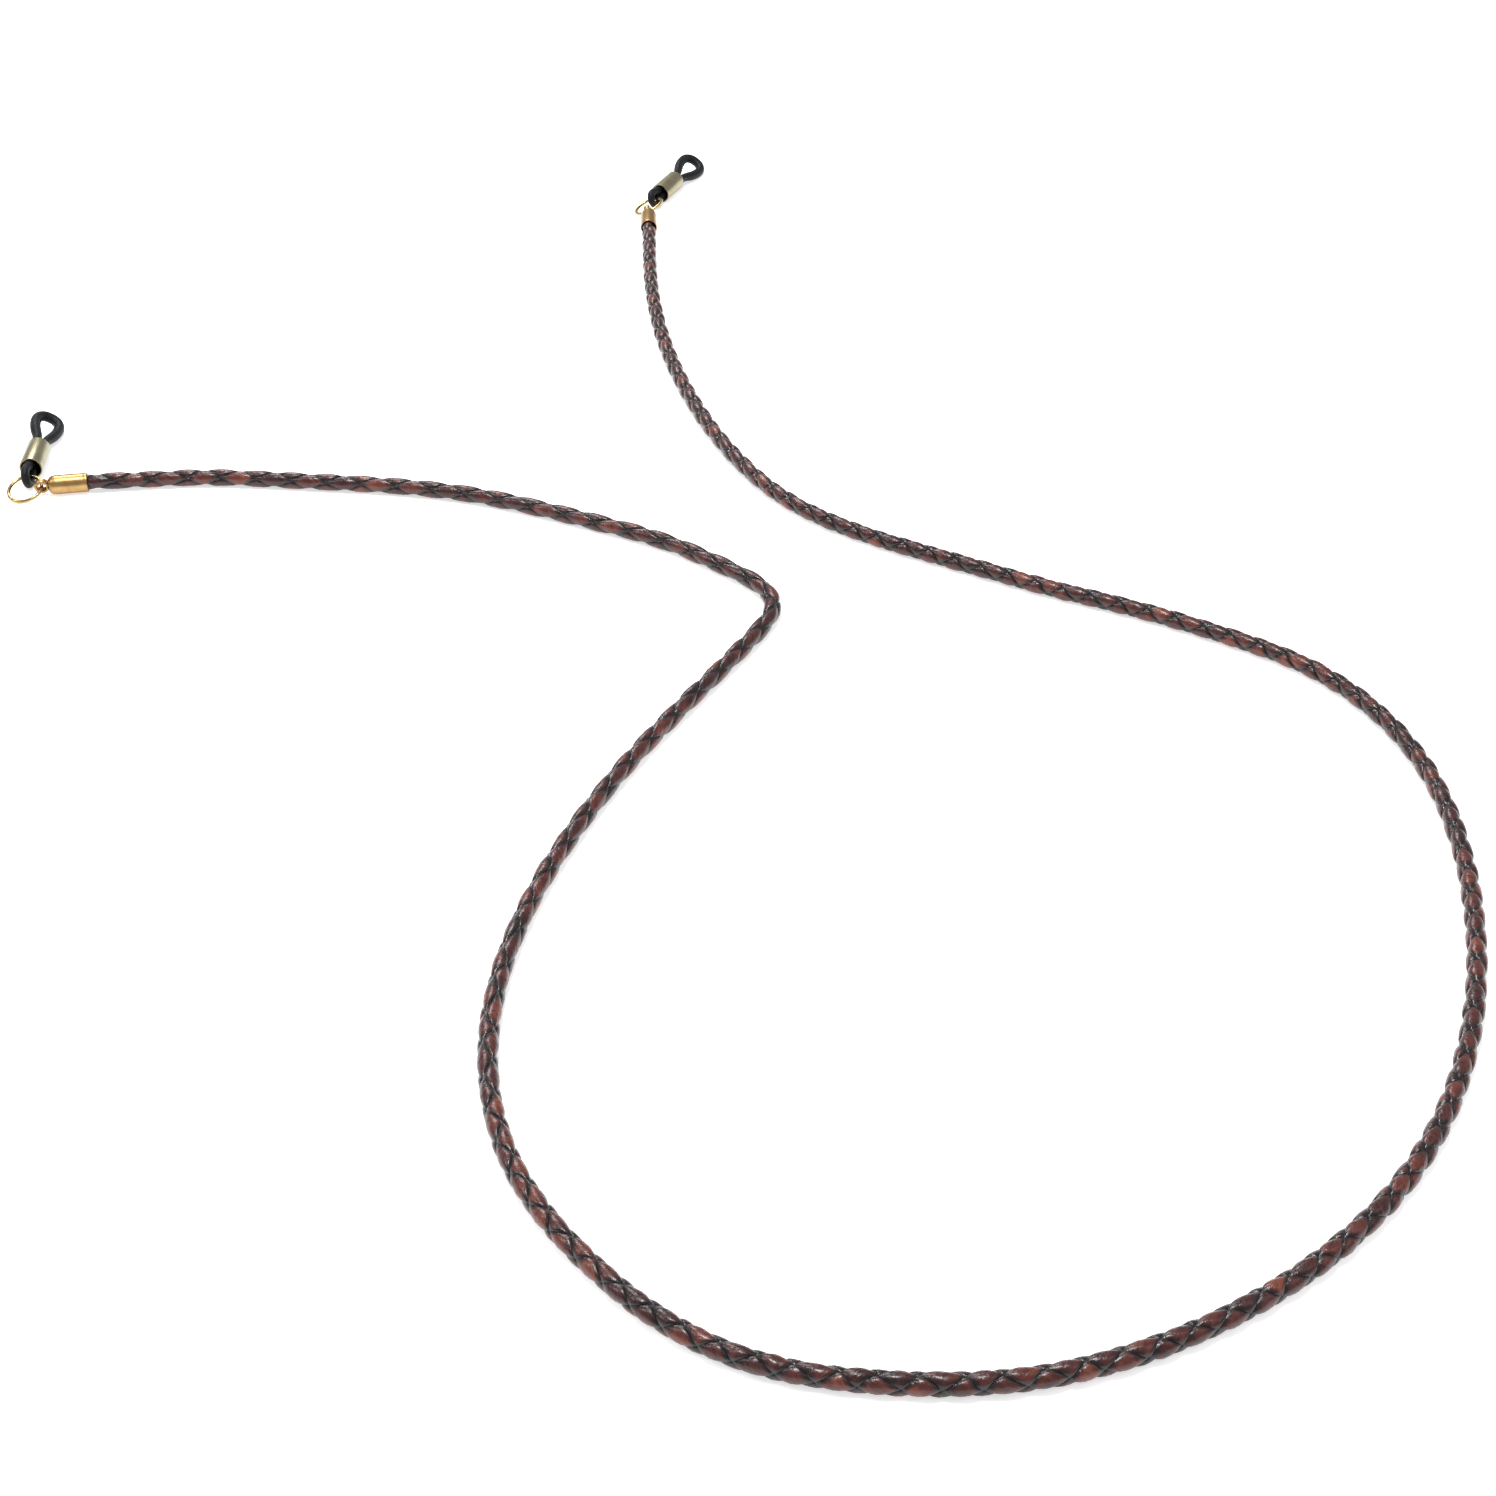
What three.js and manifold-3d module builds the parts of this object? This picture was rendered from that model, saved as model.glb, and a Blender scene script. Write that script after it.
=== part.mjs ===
// Eyewear strap: a round braided leather cord that ends, on both sides, in a brass end cap
// with a small cast eyelet, a jump ring through the eyelet, a closed rubber loop that grips
// the temple arm of a pair of glasses, and a brass sleeve that draws the rubber loop tight.
// Units are millimetres, +Z is up. The strap lies on the plane Z = 0. The origin is on that
// plane, midway between the fittings at the two ends, and +X runs from the left end's
// fittings to the right end's. The cord's loop lies towards -Y.
import * as THREE from "three";
import { mergeVertices } from "three/addons/utils/BufferGeometryUtils.js";
import Module from "manifold-3d";

// ---- driving dimensions ----
const CORD_D = 3.0; // braided cord, round
const CORD_SIDES = 8;
const GAP = 0.3; // between pieces that touch on the real strap
const CAP_R = 1.75; // end cap, outside
const CAP_BORE_R = 1.5;
const CAP_BORE_DEPTH = 5.5;
const CAP_DOME = 6.0; // where the closed end starts to round over
const CAP_REACH = 8.2; // cap mouth to the centre of its eyelet
const EYELET_R = 1.45;
const EYELET_HOLE_R = 0.78;
const EYELET_T = 1.3;
const STUB_R = 1.15; // the cord's bound end, glued inside the cap
const RING_R = 3.075; // jump ring, to the middle of its wire
const RING_WIRE_R = 0.325;
const RING_FLOOR = 0.05; // the ring's lowest point above the table
const RUBBER_R = 0.85; // rubber strand of the temple loop
const EYE_STRAND_R = 0.75; // the same strand where it is drawn round the ring
const EYE_HALF = 1.38; // half width of the small eye, to the middle of the strand
const CORE_R = 1.55; // the loop's two legs, pressed together inside the sleeve
const CORE_FROM = 2.4; // measured from the middle of the small eye
const CORE_TO = 13.2;
const SLEEVE_R = 2.1;
const SLEEVE_BORE_R = 1.85;
const SLEEVE_FROM = 2.9;
const SLEEVE_L = 7.8;
const LOOP_ROLL = 30; // degrees the temple loop leans from flat, resting near its edge

// Each end: the middle of the cap's mouth, and the headings of the cap and of the rubber loop,
// in degrees from +X.
const ENDS = {
  left: { mouth: [-82.387, -12.373], cap: 143.18, loop: 46.18, lean: 1 },
  right: { mouth: [62.586, -9.06], cap: 46.59, loop: 20.18, lean: 1 },
};

// The cord's centreline from the left cap to the right cap.
const ROUTE = [
  [-82.39, -12.37, 1.75], [-73.87, -19.22, 1.53], [-66.53, -25.68, 1.50], [-60.09, -32.95, 1.50],
  [-53.27, -41.42, 1.50], [-46.50, -49.91, 1.50], [-40.68, -58.04, 1.50], [-35.89, -66.27, 1.50],
  [-31.90, -75.15, 1.50], [-28.24, -85.03, 1.50], [-24.88, -94.93, 1.50], [-22.56, -103.92, 1.50],
  [-21.60, -112.85, 1.50], [-21.20, -120.22, 1.50], [-21.90, -125.44, 1.50],
  [-24.31, -129.35, 1.50], [-28.65, -131.85, 1.50], [-35.35, -133.92, 1.50],
  [-45.20, -136.45, 1.50], [-56.05, -139.10, 1.50], [-66.54, -141.91, 1.50],
  [-76.63, -145.09, 1.50], [-86.40, -148.73, 1.50], [-95.81, -152.86, 1.50],
  [-104.73, -157.49, 1.50], [-113.04, -162.65, 1.50], [-120.58, -168.34, 1.50],
  [-127.22, -174.59, 1.50], [-132.86, -181.37, 1.50], [-137.40, -188.65, 1.50],
  [-140.78, -196.37, 1.50], [-142.97, -204.63, 1.50], [-144.08, -213.50, 1.50],
  [-144.26, -222.22, 1.50], [-143.20, -230.23, 1.50], [-140.83, -237.60, 1.50],
  [-136.97, -244.58, 1.50], [-131.64, -251.50, 1.50], [-125.47, -258.01, 1.50],
  [-118.71, -263.46, 1.50], [-111.15, -267.94, 1.50], [-102.81, -271.61, 1.50],
  [-93.94, -274.41, 1.50], [-84.76, -276.30, 1.50], [-75.46, -277.24, 1.50],
  [-66.18, -277.19, 1.50], [-56.98, -276.12, 1.50], [-47.85, -274.04, 1.50],
  [-38.80, -271.01, 1.50], [-29.89, -267.09, 1.50], [-21.13, -262.36, 1.50],
  [-12.63, -256.95, 1.50], [-4.55, -251.00, 1.50], [2.87, -244.62, 1.50], [9.38, -237.89, 1.50],
  [14.80, -230.85, 1.50], [18.99, -223.49, 1.50], [21.89, -215.91, 1.50], [23.42, -208.20, 1.50],
  [23.48, -200.23, 1.50], [22.08, -191.40, 1.50], [19.79, -181.50, 1.50], [16.91, -171.76, 1.50],
  [13.38, -161.86, 1.50], [10.27, -151.70, 1.50], [7.32, -141.14, 1.50], [4.53, -130.97, 1.50],
  [2.66, -121.62, 1.50], [1.96, -112.95, 1.50], [2.60, -104.57, 1.50], [4.59, -95.98, 1.50],
  [7.75, -86.93, 1.50], [11.77, -77.66, 1.50], [16.48, -68.44, 1.50], [21.74, -59.36, 1.50],
  [27.46, -50.49, 1.50], [33.60, -41.91, 1.50], [40.19, -33.61, 1.50], [47.24, -25.46, 1.50],
  [54.77, -17.32, 1.52], [62.59, -9.06, 1.75],
];

const wasm = await Module();
wasm.setup();

// A closed three.js geometry, moved by a matrix, as a solid for joins and cuts.
function solid(geometry, matrix) {
  let g = geometry.clone();
  g.deleteAttribute("normal");
  g.deleteAttribute("uv");
  if (matrix) g.applyMatrix4(matrix);
  g = mergeVertices(g, 1e-4);
  return new wasm.Manifold(
    new wasm.Mesh({
      numProp: 3,
      vertProperties: new Float32Array(g.attributes.position.array),
      triVerts: new Uint32Array(g.index.array),
    }),
  );
}

function geometryOf(manifold) {
  const m = manifold.getMesh();
  const g = new THREE.BufferGeometry();
  const p = new Float32Array(m.numVert * 3);
  for (let i = 0; i < m.numVert; i++)
    for (let k = 0; k < 3; k++) p[3 * i + k] = m.vertProperties[m.numProp * i + k];
  g.setAttribute("position", new THREE.BufferAttribute(p, 3));
  g.setIndex(new THREE.BufferAttribute(new Uint32Array(m.triVerts), 1));
  g.computeVertexNormals();
  return g;
}

function join(list) {
  let out = list[0];
  for (const s of list.slice(1)) out = out.add(s);
  return geometryOf(out);
}

// A curve that passes through the given stations, one per step of the extrusion.
class StationCurve extends THREE.Curve {
  constructor(points) {
    super();
    this.stations = points;
    this.spline = new THREE.CatmullRomCurve3(points, false, "centripetal");
  }
  getPoint(t, target = new THREE.Vector3()) {
    const n = this.stations.length - 1;
    const i = Math.round(t * n);
    if (Math.abs(t * n - i) < 1e-6) return target.copy(this.stations[i]);
    return this.spline.getPoint(t, target);
  }
  getPointAt(u, target) {
    return this.getPoint(u, target);
  }
  getTangent(t, target = new THREE.Vector3()) {
    const n = this.stations.length - 1;
    const i = Math.round(t * n);
    const a = this.stations[Math.max(0, i - 1)];
    const b = this.stations[Math.min(n, i + 1)];
    const c = this.stations[i];
    if (i === 0 || i === n) return target.copy(b).sub(a).normalize();
    const p = c.clone().sub(a).normalize();
    const q = b.clone().sub(c).normalize();
    return target.copy(p.add(q)).normalize();
  }
  getTangentAt(u, target) {
    return this.getTangent(u, target);
  }
}

// A regular polygon with flats, not corners, square to its two axes.
function section(radius, sides) {
  const s = new THREE.Shape();
  for (let i = 0; i < sides; i++) {
    const a = ((i + 0.5) * 2 * Math.PI) / sides;
    const x = radius * Math.cos(a);
    const y = radius * Math.sin(a);
    if (i) s.lineTo(x, y);
    else s.moveTo(x, y);
  }
  s.closePath();
  return s;
}

function tube(points, radius, sides) {
  const curve = new StationCurve(points.map((p) => new THREE.Vector3(...p)));
  return new THREE.ExtrudeGeometry(section(radius, sides), {
    steps: points.length - 1,
    extrudePath: curve,
    curveSegments: 1,
  });
}

function lathe(profile, segments) {
  return new THREE.LatheGeometry(
    profile.map(([r, y]) => new THREE.Vector2(r, y)),
    segments,
  );
}

const metal = (color, roughness) =>
  new THREE.MeshStandardMaterial({ color, roughness, metalness: 1.0 });
const leather = new THREE.MeshStandardMaterial({
  color: 0x5a2a1e,
  roughness: 0.42,
  metalness: 0.0,
});
const strap = new THREE.Group();

function mesh(name, geometry, material, parent = strap) {
  const m = new THREE.Mesh(geometry, material);
  m.name = name;
  parent.add(m);
  return m;
}

const rad = THREE.MathUtils.degToRad;
const Z = new THREE.Vector3(0, 0, 1);

// Where the pieces of one end lie. The ring's wire passes through the middle of the cap's
// eyelet and through the middle of the rubber's small eye, and the ring leans on the table.
function place(end) {
  const d = new THREE.Vector3(Math.cos(rad(end.cap)), Math.sin(rad(end.cap)), 0);
  const u = new THREE.Vector3(Math.cos(rad(end.loop)), Math.sin(rad(end.loop)), 0);
  const mouth = new THREE.Vector3(end.mouth[0], end.mouth[1], CAP_R);
  const eyelet = mouth.clone().addScaledVector(d, CAP_REACH);
  const flat = eyelet.clone().addScaledVector(d, RING_R);
  const eye = flat.clone().addScaledVector(u, RING_R).setZ(SLEEVE_R);
  const chord = eye.clone().sub(eyelet);
  const half = chord.length() / 2;
  chord.normalize();
  const rise = Math.sqrt(RING_R * RING_R - half * half);
  const mid = eyelet.clone().add(eye).multiplyScalar(0.5);
  const side = flat.clone().sub(mid).setZ(0);
  side.addScaledVector(chord, -side.dot(chord)).normalize();
  const down = new THREE.Vector3().crossVectors(chord, side);
  if (down.z > 0) down.negate();
  const ring = (angle) => {
    const centre = mid
      .clone()
      .addScaledVector(side, rise * Math.cos(angle))
      .addScaledVector(down, rise * Math.sin(angle));
    const normal = new THREE.Vector3()
      .crossVectors(eyelet.clone().sub(centre), eye.clone().sub(centre))
      .normalize();
    if (normal.z < 0) normal.negate();
    const lowest =
      centre.z - RING_R * Math.sqrt(1 - normal.z * normal.z) - RING_WIRE_R;
    return { centre, normal, lowest };
  };
  let low = 0;
  let high = rad(80);
  for (let i = 0; i < 60; i++) {
    const a = (low + high) / 2;
    if (ring(a).lowest > RING_FLOOR) low = a;
    else high = a;
  }
  const { centre, normal } = ring(low);
  const wireAt = (point) =>
    new THREE.Vector3()
      .crossVectors(normal, point.clone().sub(centre))
      .normalize();
  const across = (axis, along) =>
    axis.clone().addScaledVector(along, -axis.dot(along)).normalize();
  const swing = wireAt(eyelet); // the ring swings about its own wire in the eyelet
  const turn = wireAt(eye); // the rubber eye turns about the wire it holds
  const hole = across(swing, d);
  const eyeNormal = across(turn, u);
  return { d, u, mouth, eyelet, eye, centre, normal, swing, turn, hole, eyeNormal };
}

function basis(x, y, origin) {
  const z = new THREE.Vector3().crossVectors(x, y).normalize();
  return new THREE.Matrix4().makeBasis(x, y, z).setPosition(origin);
}

// ---- end cap: a cup for the cord, closed by a dome with a cast eyelet ----
// Local +Y runs from the mouth to the eyelet, local X is the axis of the eyelet's hole.
function endCap() {
  const cup = solid(
    lathe(
      [
        [0, CAP_BORE_DEPTH],
        [CAP_BORE_R, CAP_BORE_DEPTH],
        [CAP_BORE_R, 0.15],
        [CAP_BORE_R + 0.07, 0],
        [CAP_R - 0.06, 0],
        [CAP_R, 0.1],
        [CAP_R, CAP_DOME],
        [1.64, 6.42],
        [1.3, 6.83],
        [0.75, 7.1],
        [0, 7.2],
      ],
      28,
    ),
  );
  const neck = solid(
    new THREE.CylinderGeometry(0.5, 0.95, 0.75, 12),
    new THREE.Matrix4().makeTranslation(0, 7.05, 0),
  );
  const t = EYELET_T / 2;
  const eyelet = solid(
    lathe(
      [
        [EYELET_HOLE_R, t - 0.2],
        [EYELET_HOLE_R, -t + 0.2],
        [EYELET_HOLE_R + 0.2, -t],
        [EYELET_R - 0.2, -t],
        [EYELET_R, -t + 0.25],
        [EYELET_R, t - 0.25],
        [EYELET_R - 0.2, t],
        [EYELET_HOLE_R + 0.2, t],
        [EYELET_HOLE_R, t - 0.2],
      ],
      28,
    ),
    new THREE.Matrix4()
      .makeTranslation(0, CAP_REACH, 0)
      .multiply(new THREE.Matrix4().makeRotationZ(-Math.PI / 2)),
  );
  return join([cup, neck, eyelet]);
}

// ---- rubber temple loop ----
// Local +Y runs from the small eye to the crown of the loop, and the loop lies in local XY.
// The small eye is turned about Y, so that the ring crosses it square on.
function templeLoop(twist) {
  const loop = [
    [0.7, 12.2], [0.74, 13.3], [1.22, 14.6], [1.82, 16.2], [2.22, 17.9],
    [2.28, 19.3], [2.02, 20.5], [1.45, 21.35], [0.72, 21.65],
  ];
  const crown = [
    ...loop.map(([x, y]) => [x, y, 0]),
    ...loop.slice().reverse().map(([x, y]) => [-x, y, 0]),
  ];
  const arc = [];
  for (let i = 0; i <= 8; i++) {
    const a = (Math.PI * i) / 8;
    arc.push([EYE_HALF * Math.cos(a), -EYE_HALF * Math.sin(a), 0]);
  }
  const eye = [
    [0.72, 3.0, 0], [1.12, 2.0, 0], [1.38, 0.9, 0], ...arc,
    [-1.38, 0.9, 0], [-1.12, 2.0, 0], [-0.72, 3.0, 0],
  ];
  const core = solid(
    lathe(
      [
        [0, CORE_FROM],
        [1.2, CORE_FROM],
        [CORE_R, CORE_FROM + 0.4],
        [CORE_R, CORE_TO - 0.3],
        [1.25, CORE_TO],
        [0, CORE_TO],
      ],
      20,
    ),
  );
  return join([
    core,
    solid(tube(crown, RUBBER_R, 8)),
    solid(tube(eye, EYE_STRAND_R, 8), new THREE.Matrix4().makeRotationY(twist)),
  ]);
}

// ---- brass sleeve: a plain tube, local +Y along its length ----
function sleeve() {
  return lathe(
    [
      [SLEEVE_BORE_R, SLEEVE_L],
      [SLEEVE_BORE_R, 0],
      [SLEEVE_R - 0.08, 0],
      [SLEEVE_R, 0.08],
      [SLEEVE_R, SLEEVE_L - 0.08],
      [SLEEVE_R - 0.08, SLEEVE_L],
      [SLEEVE_BORE_R, SLEEVE_L],
    ],
    32,
  );
}

const placed = {};
for (const [name, end] of Object.entries(ENDS)) {
  const p = place(end);
  placed[name] = p;

  const cap = mesh(`end_cap_${name}`, endCap(), metal(0xb08a45, 0.3));
  basis(p.hole, p.d, p.mouth).decompose(cap.position, cap.quaternion, cap.scale);

  const ring = mesh(
    `jump_ring_${name}`,
    new THREE.TorusGeometry(RING_R, RING_WIRE_R, 8, 36),
    metal(0xd9bd76, 0.22),
  );
  basis(
    p.eyelet.clone().sub(p.centre).normalize(),
    new THREE.Vector3()
      .crossVectors(p.normal, p.eyelet.clone().sub(p.centre))
      .normalize(),
    p.centre,
  ).decompose(ring.position, ring.quaternion, ring.scale);

  // the rubber and the sleeve share one group that lies along the loop's heading
  const flatSide = new THREE.Vector3().crossVectors(p.u, Z).normalize();
  const eyeSide = new THREE.Vector3().crossVectors(p.u, p.eyeNormal).normalize();
  if (eyeSide.dot(flatSide) < 0) eyeSide.negate();
  const leanSign = eyeSide.z < 0 ? -1 : 1;
  const roll = rad(LOOP_ROLL) * leanSign * end.lean;
  const loopSide = flatSide
    .clone()
    .multiplyScalar(Math.cos(roll))
    .addScaledVector(Z, Math.sin(roll));
  const frame = basis(loopSide, p.u, p.eye);
  const group = new THREE.Group();
  frame.decompose(group.position, group.quaternion, group.scale);
  strap.add(group);
  const loopNormal = new THREE.Vector3().crossVectors(loopSide, p.u);
  const twist = Math.atan2(-eyeSide.dot(loopNormal), eyeSide.dot(loopSide));
  mesh(
    `temple_loop_${name}`,
    templeLoop(twist),
    new THREE.MeshStandardMaterial({ color: 0x121212, roughness: 0.6, metalness: 0 }),
    group,
  );
  const tubeMesh = mesh(`loop_sleeve_${name}`, sleeve(), metal(0xa89a6c, 0.34), group);
  tubeMesh.position.set(0, SLEEVE_FROM, 0);
}

// ---- braided cord ----
// One closed tube along the route. Both ends carry a bound stub that reaches into its cap.
const first = placed.left.mouth.clone().addScaledVector(placed.left.d, -GAP);
const last = placed.right.mouth.clone().addScaledVector(placed.right.d, -GAP);
const stations = [first.toArray(), ...ROUTE.slice(1, -1), last.toArray()];
const stub = (p) =>
  solid(
    new THREE.CylinderGeometry(STUB_R, STUB_R, 6.0, CORD_SIDES),
    basis(p.hole, p.d, p.mouth.clone().addScaledVector(p.d, 2.0)),
  );
mesh(
  "braided_cord",
  join([
    solid(tube(stations, CORD_D / 2, CORD_SIDES)),
    stub(placed.left),
    stub(placed.right),
  ]),
  leather,
);

export default strap;
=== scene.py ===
import bpy, bmesh, math
import numpy as np
from mathutils import Vector, Matrix


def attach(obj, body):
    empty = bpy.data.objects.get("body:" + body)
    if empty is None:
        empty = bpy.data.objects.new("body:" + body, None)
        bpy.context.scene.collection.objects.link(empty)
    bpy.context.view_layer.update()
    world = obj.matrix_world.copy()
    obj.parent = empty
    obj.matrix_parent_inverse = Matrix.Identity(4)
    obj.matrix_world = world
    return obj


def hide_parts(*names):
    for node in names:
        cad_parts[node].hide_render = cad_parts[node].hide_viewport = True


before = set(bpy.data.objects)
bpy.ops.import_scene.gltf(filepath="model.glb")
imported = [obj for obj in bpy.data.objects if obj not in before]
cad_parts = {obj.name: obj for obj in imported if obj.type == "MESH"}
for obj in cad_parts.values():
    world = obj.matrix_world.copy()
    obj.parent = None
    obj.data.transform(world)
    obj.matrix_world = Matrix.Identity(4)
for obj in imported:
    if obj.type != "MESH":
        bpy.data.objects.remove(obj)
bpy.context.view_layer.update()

MM = 0.001
scene = bpy.context.scene

# ------------------------------------------------------------------ camera
cam_data = bpy.data.cameras.new("camera")
cam_data.sensor_width = 36.0
cam_data.lens = 58.957
cam_data.clip_start = 0.01
cam_data.clip_end = 60.0
cam_data.dof.use_dof = False
cam = bpy.data.objects.new("camera", cam_data)
cam.location = (-0.274371, -0.366511, 0.232828)
cam.rotation_euler = (math.radians(52.8), 0.0, math.radians(44.1845 - 90.0))
scene.collection.objects.link(cam)
scene.camera = cam
scene.view_settings.view_transform = "Standard"

# ------------------------------------------------------------------ the design's own numbers (mm)
CAP_R, CAP_REACH = 1.75, 8.2
RING_R, RING_WIRE_R, RING_FLOOR = 3.075, 0.325, 0.05
SLEEVE_R, SLEEVE_BORE_R, SLEEVE_FROM, SLEEVE_L = 2.1, 1.85, 2.9, 7.8
LOOP_ROLL = 30.0
ENDS = {
    "left": ((-82.387, -12.373), 143.18, 46.18),
    "right": ((62.586, -9.06), 46.59, 20.18),
}
ROUTE = [
    (-82.39, -12.37, 1.75), (-73.87, -19.22, 1.53), (-66.53, -25.68, 1.50), (-60.09, -32.95, 1.50),
    (-53.27, -41.42, 1.50), (-46.50, -49.91, 1.50), (-40.68, -58.04, 1.50), (-35.89, -66.27, 1.50),
    (-31.90, -75.15, 1.50), (-28.24, -85.03, 1.50), (-24.88, -94.93, 1.50), (-22.56, -103.92, 1.50),
    (-21.60, -112.85, 1.50), (-21.20, -120.22, 1.50), (-21.90, -125.44, 1.50), (-24.31, -129.35, 1.50),
    (-28.65, -131.85, 1.50), (-35.35, -133.92, 1.50), (-45.20, -136.45, 1.50), (-56.05, -139.10, 1.50),
    (-66.54, -141.91, 1.50), (-76.63, -145.09, 1.50), (-86.40, -148.73, 1.50), (-95.81, -152.86, 1.50),
    (-104.73, -157.49, 1.50), (-113.04, -162.65, 1.50), (-120.58, -168.34, 1.50), (-127.22, -174.59, 1.50),
    (-132.86, -181.37, 1.50), (-137.40, -188.65, 1.50), (-140.78, -196.37, 1.50), (-142.97, -204.63, 1.50),
    (-144.08, -213.50, 1.50), (-144.26, -222.22, 1.50), (-143.20, -230.23, 1.50), (-140.83, -237.60, 1.50),
    (-136.97, -244.58, 1.50), (-131.64, -251.50, 1.50), (-125.47, -258.01, 1.50), (-118.71, -263.46, 1.50),
    (-111.15, -267.94, 1.50), (-102.81, -271.61, 1.50), (-93.94, -274.41, 1.50), (-84.76, -276.30, 1.50),
    (-75.46, -277.24, 1.50), (-66.18, -277.19, 1.50), (-56.98, -276.12, 1.50), (-47.85, -274.04, 1.50),
    (-38.80, -271.01, 1.50), (-29.89, -267.09, 1.50), (-21.13, -262.36, 1.50), (-12.63, -256.95, 1.50),
    (-4.55, -251.00, 1.50), (2.87, -244.62, 1.50), (9.38, -237.89, 1.50), (14.80, -230.85, 1.50),
    (18.99, -223.49, 1.50), (21.89, -215.91, 1.50), (23.42, -208.20, 1.50), (23.48, -200.23, 1.50),
    (22.08, -191.40, 1.50), (19.79, -181.50, 1.50), (16.91, -171.76, 1.50), (13.38, -161.86, 1.50),
    (10.27, -151.70, 1.50), (7.32, -141.14, 1.50), (4.53, -130.97, 1.50), (2.66, -121.62, 1.50),
    (1.96, -112.95, 1.50), (2.60, -104.57, 1.50), (4.59, -95.98, 1.50), (7.75, -86.93, 1.50),
    (11.77, -77.66, 1.50), (16.48, -68.44, 1.50), (21.74, -59.36, 1.50), (27.46, -50.49, 1.50),
    (33.60, -41.91, 1.50), (40.19, -33.61, 1.50), (47.24, -25.46, 1.50), (54.77, -17.32, 1.52),
    (62.59, -9.06, 1.75),
]
Z = np.array([0.0, 0.0, 1.0])


def unit(v):
    v = np.asarray(v, float)
    return v / np.linalg.norm(v)


def across(axis, along):
    return unit(axis - along * axis.dot(along))


def place(end):
    """Where the pieces of one end lie; the same construction as the CAD part's."""
    (mx, my), cap, loop = end
    d = np.array([math.cos(math.radians(cap)), math.sin(math.radians(cap)), 0.0])
    u = np.array([math.cos(math.radians(loop)), math.sin(math.radians(loop)), 0.0])
    mouth = np.array([mx, my, CAP_R])
    eyelet = mouth + CAP_REACH * d
    flat = eyelet + RING_R * d
    eye = flat + RING_R * u
    eye[2] = SLEEVE_R
    chord = eye - eyelet
    half = np.linalg.norm(chord) / 2
    chord = unit(chord)
    rise = math.sqrt(RING_R**2 - half**2)
    mid = (eyelet + eye) / 2
    side = flat - mid
    side[2] = 0
    side = across(side, chord)
    down = np.cross(chord, side)
    if down[2] > 0:
        down = -down

    def ring(a):
        c = mid + rise * (math.cos(a) * side + math.sin(a) * down)
        n = unit(np.cross(eyelet - c, eye - c))
        if n[2] < 0:
            n = -n
        return c, n, c[2] - RING_R * math.sqrt(1 - n[2] ** 2) - RING_WIRE_R

    lo, hi = 0.0, math.radians(80)
    for _ in range(60):
        a = (lo + hi) / 2
        if ring(a)[2] > RING_FLOOR:
            lo = a
        else:
            hi = a
    c, n, _ = ring(lo)
    swing = unit(np.cross(n, eyelet - c))
    turn = unit(np.cross(n, eye - c))
    return dict(d=d, u=u, mouth=mouth, eyelet=eyelet, eye=eye, centre=c, normal=n,
                hole=across(swing, d), eye_normal=across(turn, u))


PLACED = {k: place(v) for k, v in ENDS.items()}

# ------------------------------------------------------------------ mesh helpers


def new_object(name, verts, faces, smooth=True):
    me = bpy.data.meshes.new(name)
    me.from_pydata([tuple(map(float, v)) for v in verts], [], faces)
    me.validate()
    bm = bmesh.new()
    bm.from_mesh(me)
    bmesh.ops.remove_doubles(bm, verts=bm.verts, dist=1e-7)
    bmesh.ops.recalc_face_normals(bm, faces=bm.faces)
    bm.to_mesh(me)
    bm.free()
    ob = bpy.data.objects.new(name, me)
    scene.collection.objects.link(ob)
    if smooth:
        smooth_by_angle(me, 38)
    return ob


def smooth_by_angle(me, degrees):
    bm = bmesh.new()
    bm.from_mesh(me)
    for f in bm.faces:
        f.smooth = True
    limit = math.radians(degrees)
    for e in bm.edges:
        e.smooth = not (len(e.link_faces) == 2 and e.calc_face_angle(0.0) > limit)
    bm.to_mesh(me)
    bm.free()


def rings_to_mesh(rings, closed):
    """Quads between rings of points; the first and last rings are closed off unless the run is closed."""
    n, m = len(rings), len(rings[0])
    verts = [p for r in rings for p in r]
    faces = []
    for i in range(n if closed else n - 1):
        a, b = i * m, ((i + 1) % n) * m
        for j in range(m):
            k = (j + 1) % m
            faces.append((a + j, a + k, b + k, b + j))
    if not closed:
        faces.append(tuple(range(m))[::-1])
        faces.append(tuple((n - 1) * m + j for j in range(m)))
    return verts, faces


def frames_along(points, start_normal, closed=False):
    """Tangents and transported normals of a line; a closed line's leftover turn is spread over it."""
    p = np.asarray(points, float)
    n = len(p)
    if closed:
        t = np.roll(p, -1, 0) - np.roll(p, 1, 0)
    else:
        t = np.gradient(p, axis=0)
    t /= np.linalg.norm(t, axis=1)[:, None]
    normals = [across(np.asarray(start_normal, float), t[0])]
    for i in range(1, n):
        normals.append(across(normals[-1], t[i]))
    normals = np.array(normals)
    if closed:
        last = across(normals[-1], t[0])
        b0 = np.cross(t[0], normals[0])
        gap = math.atan2(last.dot(b0), last.dot(normals[0]))
        for i in range(n):
            a = -gap * i / n
            b = np.cross(t[i], normals[i])
            normals[i] = math.cos(a) * normals[i] + math.sin(a) * b
    return t, normals


def tube_rings(points, radius, sides, start_normal, closed=False):
    t, nn = frames_along(points, start_normal, closed)
    rad_ = np.broadcast_to(np.asarray(radius, float), (len(points),))
    out = []
    for i, p in enumerate(points):
        b = np.cross(t[i], nn[i])
        out.append([p + rad_[i] * (math.cos(a) * nn[i] + math.sin(a) * b)
                    for a in 2 * math.pi * np.arange(sides) / sides])
    return out


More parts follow.
